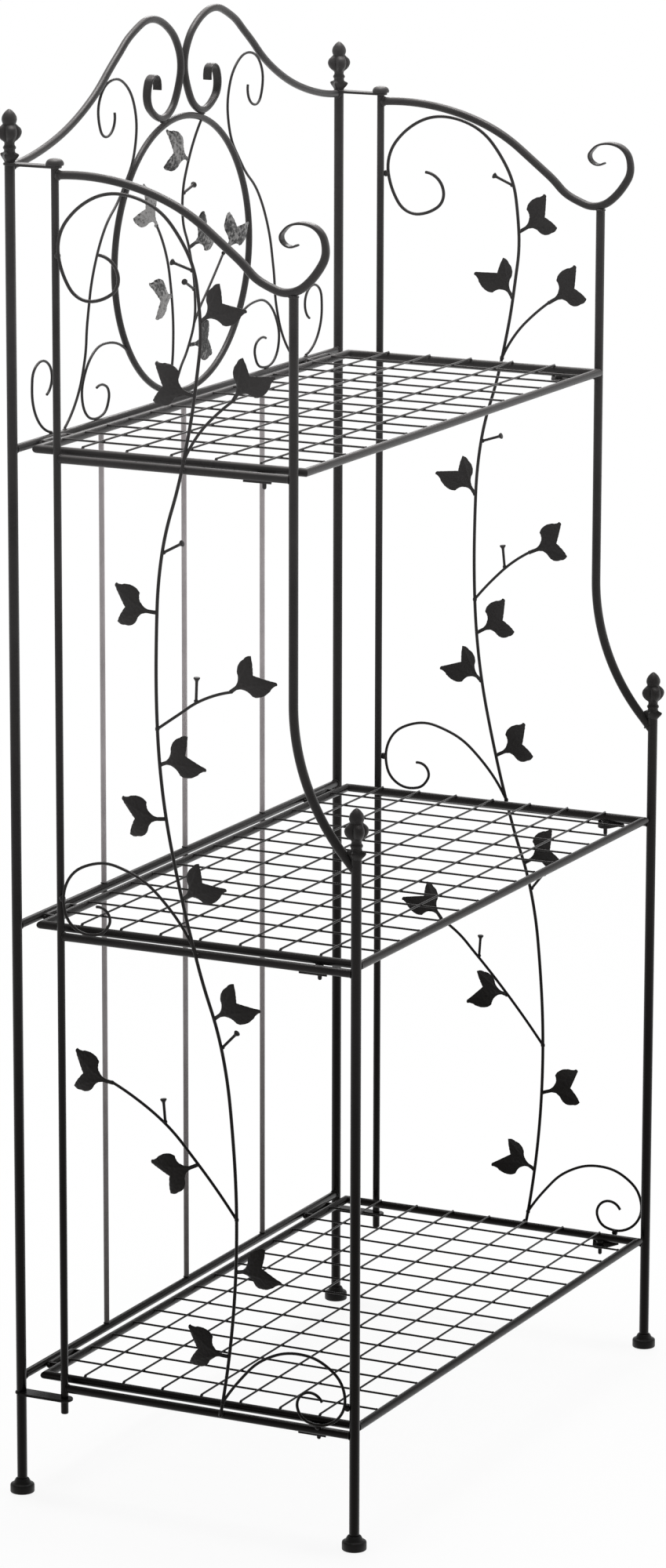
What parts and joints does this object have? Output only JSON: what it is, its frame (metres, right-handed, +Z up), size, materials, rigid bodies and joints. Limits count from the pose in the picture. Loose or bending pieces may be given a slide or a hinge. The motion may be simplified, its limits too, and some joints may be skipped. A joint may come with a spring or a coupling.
{
  "type": "bakers rack",
  "caption": "Folding bakers rack of black bent steel tube and wire, with hinged wire shelves, leaf vine side panels and a scrolled crest over an oval.",
  "frame": {"origin": "on the floor, in the middle of the four feet", "axes": "+X to the right as seen from the front, +Y to the back, +Z up"},
  "size_m": [0.869, 0.47, 1.7257],
  "materials": {
    "powder_coat": "satin",
    "foot": "satin"
  },
  "bodies": {
    "frame": {"back_finials": "powder_coat", "back_post_left": "powder_coat", "back_post_right": "powder_coat", "back_rail_bottom": "powder_coat", "back_rail_middle": "powder_coat", "back_rail_top": "powder_coat", "back_rod_centre": "powder_coat", "back_rod_left": "powder_coat", "back_rod_right": "powder_coat", "back_scrolls_left": "powder_coat", "back_scrolls_right": "powder_coat", "bottom_hinge_brackets": "powder_coat", "crest_scroll_left": "powder_coat", "crest_scroll_right": "powder_coat", "feet": "foot", "front_finials": "powder_coat", "front_post_left": "powder_coat", "front_post_right": "powder_coat", "hinge_bolts": "powder_coat", "left_front_upper_tube": "powder_coat", "left_leaves": "powder_coat", "left_rail_bottom": "powder_coat", "left_rail_middle": "powder_coat", "left_rail_top": "powder_coat", "left_rear_upright": "powder_coat", "left_shelf_tabs": "powder_coat", "left_top_arm": "powder_coat", "left_vine": "powder_coat", "oval_leaves": "powder_coat", "oval_ring": "powder_coat", "oval_vine": "powder_coat", "right_front_upper_tube": "powder_coat", "right_leaves": "powder_coat", "right_rail_bottom": "powder_coat", "right_rail_middle": "powder_coat", "right_rail_top": "powder_coat", "right_rear_upright": "powder_coat", "right_shelf_tabs": "powder_coat", "right_top_arm": "powder_coat", "right_vine": "powder_coat", "shelf_hinge_barrels": "powder_coat", "top_hinge_brackets": "powder_coat"},
    "bottom_shelf": {"bottom_shelf_front_tube": "powder_coat", "bottom_shelf_hinge_pins": "powder_coat", "bottom_shelf_lock_pins": "powder_coat", "bottom_shelf_rear_tube": "powder_coat", "bottom_shelf_side_tubes": "powder_coat", "bottom_shelf_wire_mesh": "powder_coat"},
    "middle_shelf": {"middle_shelf_front_tube": "powder_coat", "middle_shelf_hinge_pins": "powder_coat", "middle_shelf_lock_pins": "powder_coat", "middle_shelf_rear_tube": "powder_coat", "middle_shelf_side_tubes": "powder_coat", "middle_shelf_wire_mesh": "powder_coat"},
    "top_shelf": {"top_shelf_front_tube": "powder_coat", "top_shelf_hinge_pins": "powder_coat", "top_shelf_lock_pins": "powder_coat", "top_shelf_rear_tube": "powder_coat", "top_shelf_side_tubes": "powder_coat", "top_shelf_wire_mesh": "powder_coat"}
  },
  "joints": [
    {"name": "bottom_shelf_fold", "type": "hinge", "parent": "frame", "child": "bottom_shelf", "pos_m": [0, 0.21095, 0.144], "axis": [-1, 0, 0], "range_deg": [0, 84]},
    {"name": "middle_shelf_fold", "type": "hinge", "parent": "frame", "child": "middle_shelf", "pos_m": [0, 0.21095, 0.696], "axis": [-1, 0, 0], "range_deg": [0, 84]},
    {"name": "top_shelf_fold", "type": "hinge", "parent": "frame", "child": "top_shelf", "pos_m": [0, 0.21095, 1.259], "axis": [-1, 0, 0], "range_deg": [0, 84]}
  ]
}
